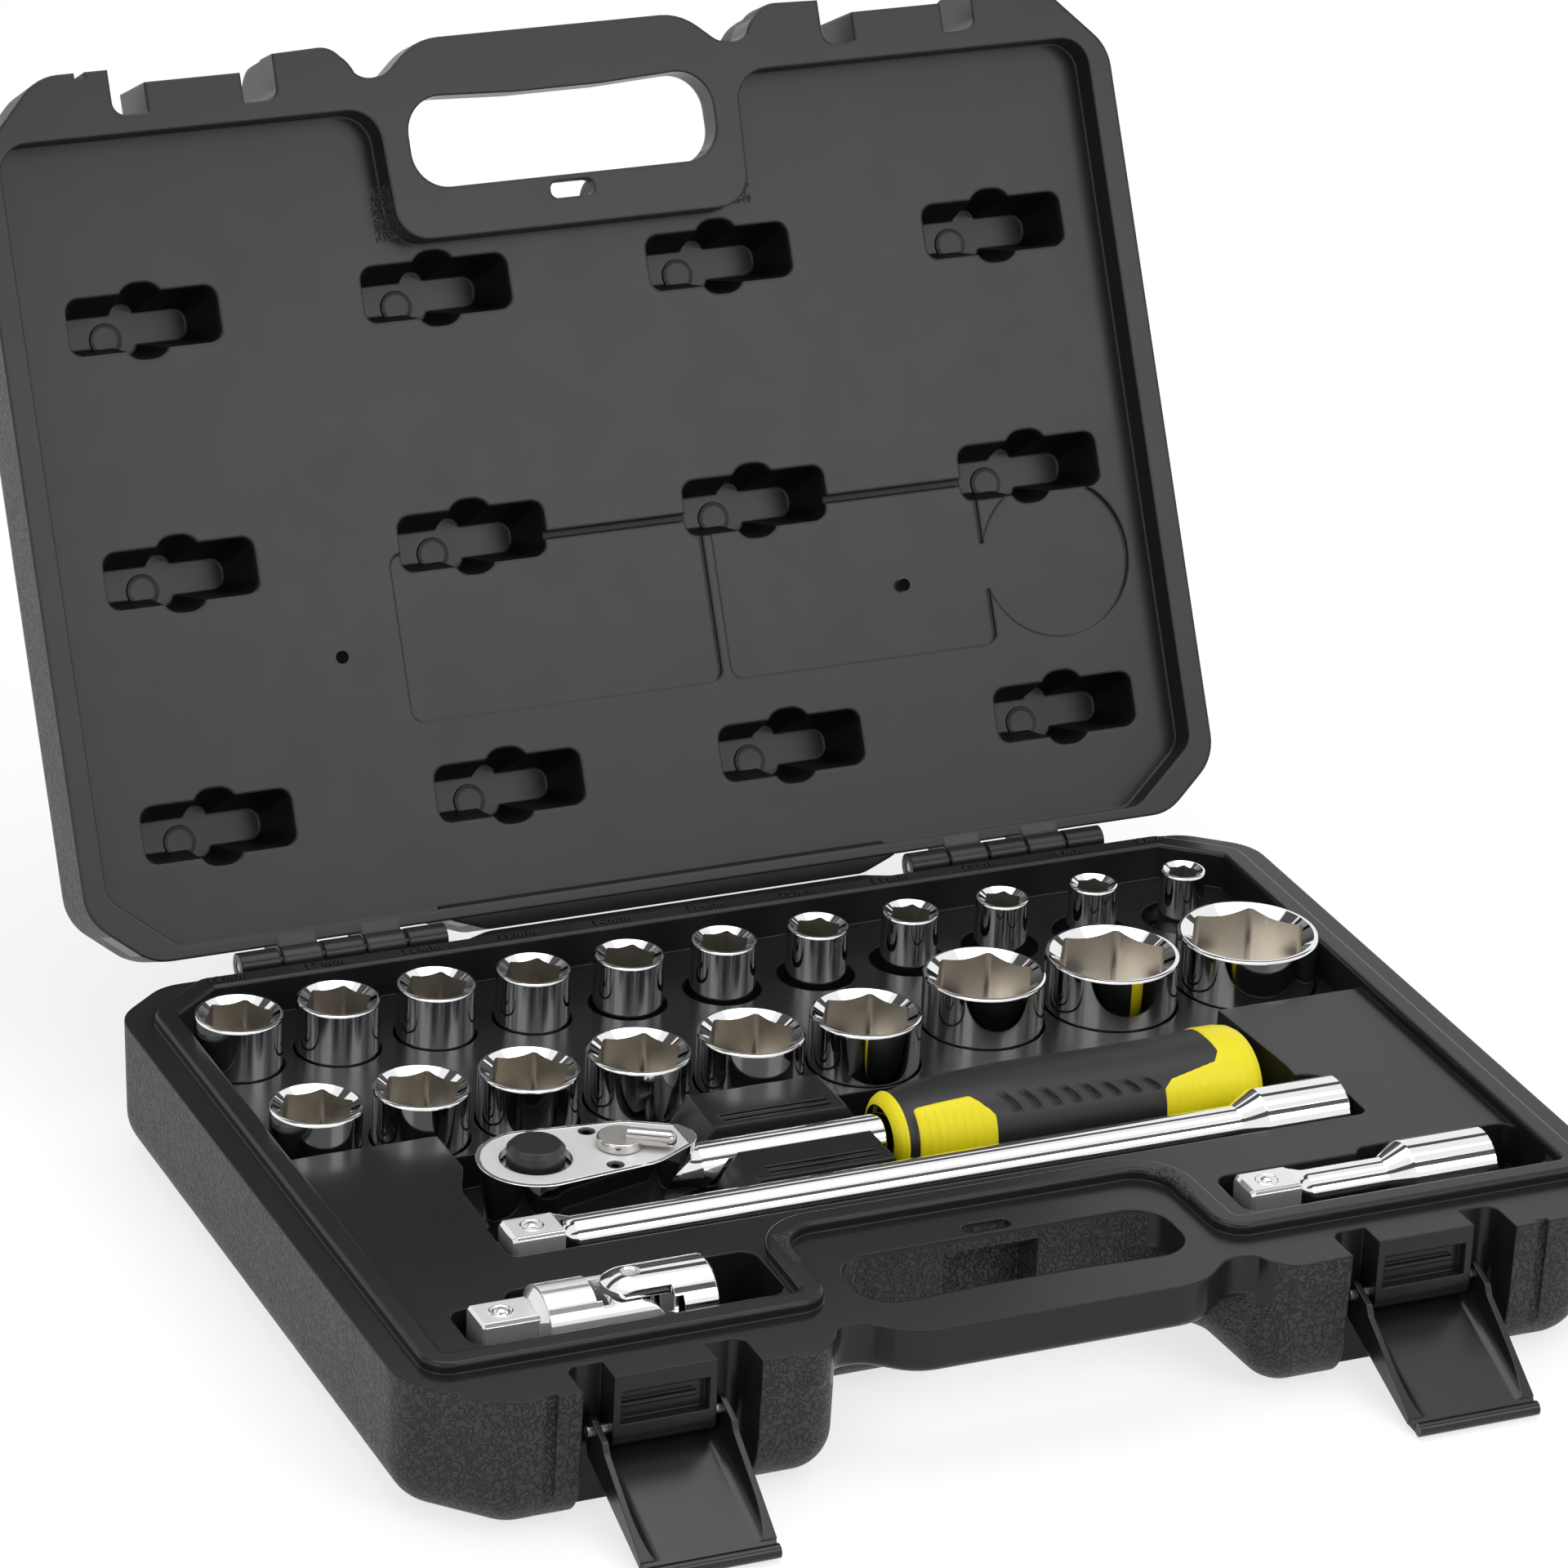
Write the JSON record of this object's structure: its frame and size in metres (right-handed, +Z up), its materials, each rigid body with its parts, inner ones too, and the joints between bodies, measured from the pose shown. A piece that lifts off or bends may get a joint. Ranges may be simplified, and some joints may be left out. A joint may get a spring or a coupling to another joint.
{
  "type": "socket wrench set in case",
  "caption": "Hinged carrying case, lid open, with a moulded tray of hexagon sockets, a pear-head ratchet, extension bars and a universal joint.",
  "frame": {"origin": "centre of the flat underside of the case's base", "axes": "+X along the lid's hinge to the right, +Y to the back where the hinge is, +Z up"},
  "size_m": [0.364, 0.4442, 0.2756],
  "materials": {
    "case_plastic": "matte, fine leather texture outside, smooth inside",
    "latch_plastic": "satin",
    "pin_steel": "plain",
    "tool_chrome": "mirror polish",
    "works_steel": "ground",
    "button_black": "satin",
    "grip_black": "soft, satin",
    "grip_yellow": "satin"
  },
  "bodies": {
    "case_base": {"base_shell": "case_plastic", "hinge_pin_left": "pin_steel", "hinge_pin_right": "pin_steel", "latch_pin_left": "pin_steel", "latch_pin_right": "pin_steel"},
    "case_lid": {"lid_shell": "case_plastic"},
    "left_latch": {"latch_left": "latch_plastic"},
    "right_latch": {"latch_right": "latch_plastic"},
    "socket_08mm": {"socket_08mm": "tool_chrome"},
    "socket_09mm": {"socket_09mm": "tool_chrome"},
    "socket_10mm": {"socket_10mm": "tool_chrome"},
    "socket_11mm": {"socket_11mm": "tool_chrome"},
    "socket_12mm": {"socket_12mm": "tool_chrome"},
    "socket_13mm": {"socket_13mm": "tool_chrome"},
    "socket_14mm": {"socket_14mm": "tool_chrome"},
    "socket_15mm": {"socket_15mm": "tool_chrome"},
    "socket_16mm": {"socket_16mm": "tool_chrome"},
    "socket_17mm": {"socket_17mm": "tool_chrome"},
    "socket_18mm": {"socket_18mm": "tool_chrome"},
    "socket_19mm": {"socket_19mm": "tool_chrome"},
    "socket_20mm": {"socket_20mm": "tool_chrome"},
    "socket_21mm": {"socket_21mm": "tool_chrome"},
    "socket_22mm": {"socket_22mm": "tool_chrome"},
    "socket_23mm": {"socket_23mm": "tool_chrome"},
    "socket_24mm": {"socket_24mm": "tool_chrome"},
    "socket_27mm": {"socket_27mm": "tool_chrome"},
    "socket_30mm": {"socket_30mm": "tool_chrome"},
    "socket_32mm": {"socket_32mm": "tool_chrome"},
    "ratchet_handle": {"ratchet_body": "tool_chrome", "ratchet_cover_plate": "tool_chrome", "ratchet_grip": "grip_black", "ratchet_grip_inlay": "grip_yellow", "ratchet_pawl": "works_steel", "ratchet_pawl_spring": "works_steel", "ratchet_plate_screws": "works_steel"},
    "ratchet_drive": {"ratchet_drive_gear": "works_steel", "ratchet_release_ball": "works_steel", "ratchet_release_spring": "works_steel"},
    "ratchet_selector": {"ratchet_selector_lever": "tool_chrome"},
    "ratchet_button": {"ratchet_release_button": "button_black"},
    "long_extension": {"extension_long": "tool_chrome", "extension_long_ball": "works_steel"},
    "short_extension": {"extension_short": "tool_chrome", "extension_short_ball": "works_steel"},
    "universal_joint": {"joint_drive_fork": "tool_chrome", "joint_ball": "works_steel"},
    "universal_joint_socket_end": {"joint_cross": "works_steel", "joint_socket_fork": "tool_chrome"}
  },
  "joints": [
    {"name": "lid_hinge", "type": "hinge", "parent": "case_base", "child": "case_lid", "pos_m": [0, 0.1341, 0.0415], "axis": [-1, 0, 0], "range_deg": [-117.5, 0]},
    {"name": "left_latch_hinge", "type": "hinge", "parent": "case_base", "child": "left_latch", "pos_m": [-0.113, -0.1201, 0.0235], "axis": [1, 0, 0], "range_deg": [-110.6, 0]},
    {"name": "right_latch_hinge", "type": "hinge", "parent": "case_base", "child": "right_latch", "pos_m": [0.113, -0.1201, 0.0235], "axis": [1, 0, 0], "range_deg": [-110.6, 0]},
    {"name": "socket_08mm_lift_out", "type": "slide", "parent": "case_base", "child": "socket_08mm", "axis": [0, 0, 1], "range_m": [0, 0.06]},
    {"name": "socket_09mm_lift_out", "type": "slide", "parent": "case_base", "child": "socket_09mm", "axis": [0, 0, 1], "range_m": [0, 0.06]},
    {"name": "socket_10mm_lift_out", "type": "slide", "parent": "case_base", "child": "socket_10mm", "axis": [0, 0, 1], "range_m": [0, 0.06]},
    {"name": "socket_11mm_lift_out", "type": "slide", "parent": "case_base", "child": "socket_11mm", "axis": [0, 0, 1], "range_m": [0, 0.06]},
    {"name": "socket_12mm_lift_out", "type": "slide", "parent": "case_base", "child": "socket_12mm", "axis": [0, 0, 1], "range_m": [0, 0.06]},
    {"name": "socket_13mm_lift_out", "type": "slide", "parent": "case_base", "child": "socket_13mm", "axis": [0, 0, 1], "range_m": [0, 0.06]},
    {"name": "socket_14mm_lift_out", "type": "slide", "parent": "case_base", "child": "socket_14mm", "axis": [0, 0, 1], "range_m": [0, 0.06]},
    {"name": "socket_15mm_lift_out", "type": "slide", "parent": "case_base", "child": "socket_15mm", "axis": [0, 0, 1], "range_m": [0, 0.06]},
    {"name": "socket_16mm_lift_out", "type": "slide", "parent": "case_base", "child": "socket_16mm", "axis": [0, 0, 1], "range_m": [0, 0.06]},
    {"name": "socket_17mm_lift_out", "type": "slide", "parent": "case_base", "child": "socket_17mm", "axis": [0, 0, 1], "range_m": [0, 0.06]},
    {"name": "socket_18mm_lift_out", "type": "slide", "parent": "case_base", "child": "socket_18mm", "axis": [0, 0, 1], "range_m": [0, 0.06]},
    {"name": "socket_19mm_lift_out", "type": "slide", "parent": "case_base", "child": "socket_19mm", "axis": [0, 0, 1], "range_m": [0, 0.06]},
    {"name": "socket_20mm_lift_out", "type": "slide", "parent": "case_base", "child": "socket_20mm", "axis": [0, 0, 1], "range_m": [0, 0.06]},
    {"name": "socket_21mm_lift_out", "type": "slide", "parent": "case_base", "child": "socket_21mm", "axis": [0, 0, 1], "range_m": [0, 0.06]},
    {"name": "socket_22mm_lift_out", "type": "slide", "parent": "case_base", "child": "socket_22mm", "axis": [0, 0, 1], "range_m": [0, 0.06]},
    {"name": "socket_23mm_lift_out", "type": "slide", "parent": "case_base", "child": "socket_23mm", "axis": [0, 0, 1], "range_m": [0, 0.06]},
    {"name": "socket_24mm_lift_out", "type": "slide", "parent": "case_base", "child": "socket_24mm", "axis": [0, 0, 1], "range_m": [0, 0.06]},
    {"name": "socket_27mm_lift_out", "type": "slide", "parent": "case_base", "child": "socket_27mm", "axis": [0, 0, 1], "range_m": [0, 0.06]},
    {"name": "socket_30mm_lift_out", "type": "slide", "parent": "case_base", "child": "socket_30mm", "axis": [0, 0, 1], "range_m": [0, 0.06]},
    {"name": "socket_32mm_lift_out", "type": "slide", "parent": "case_base", "child": "socket_32mm", "axis": [0, 0, 1], "range_m": [0, 0.06]},
    {"name": "ratchet_lift_out", "type": "slide", "parent": "case_base", "child": "ratchet_handle", "axis": [0, 0, 1], "range_m": [0, 0.06]},
    {"name": "long_extension_lift_out", "type": "slide", "parent": "case_base", "child": "long_extension", "axis": [0, 0, 1], "range_m": [0, 0.06]},
    {"name": "short_extension_lift_out", "type": "slide", "parent": "case_base", "child": "short_extension", "axis": [0, 0, 1], "range_m": [0, 0.06]},
    {"name": "universal_joint_lift_out", "type": "slide", "parent": "case_base", "child": "universal_joint", "axis": [0, 0, 1], "range_m": [0, 0.06]},
    {"name": "ratchet_drive_spin", "type": "hinge", "parent": "ratchet_handle", "child": "ratchet_drive", "pos_m": [-0.1045, -0.0113, 0.0415], "axis": [0, 0, 1], "continuous": true},
    {"name": "selector_turn", "type": "hinge", "parent": "ratchet_handle", "child": "ratchet_selector", "pos_m": [-0.0795, -0.0113, 0.0415], "axis": [0, 0, 1], "range_deg": [0, 60]},
    {"name": "release_button_press", "type": "slide", "parent": "ratchet_drive", "child": "ratchet_button", "axis": [0, 0, -1], "range_m": [0, 0.0025], "stiffness_N_per_m": 400, "springref_m": -0.002, "deforming": ["ratchet_release_spring"]},
    {"name": "universal_joint_bend", "type": "hinge", "parent": "universal_joint", "child": "universal_joint_socket_end", "pos_m": [-0.1073, -0.0851, 0.037], "axis": [0, -1, 0], "range_deg": [0, 45]}
  ]
}
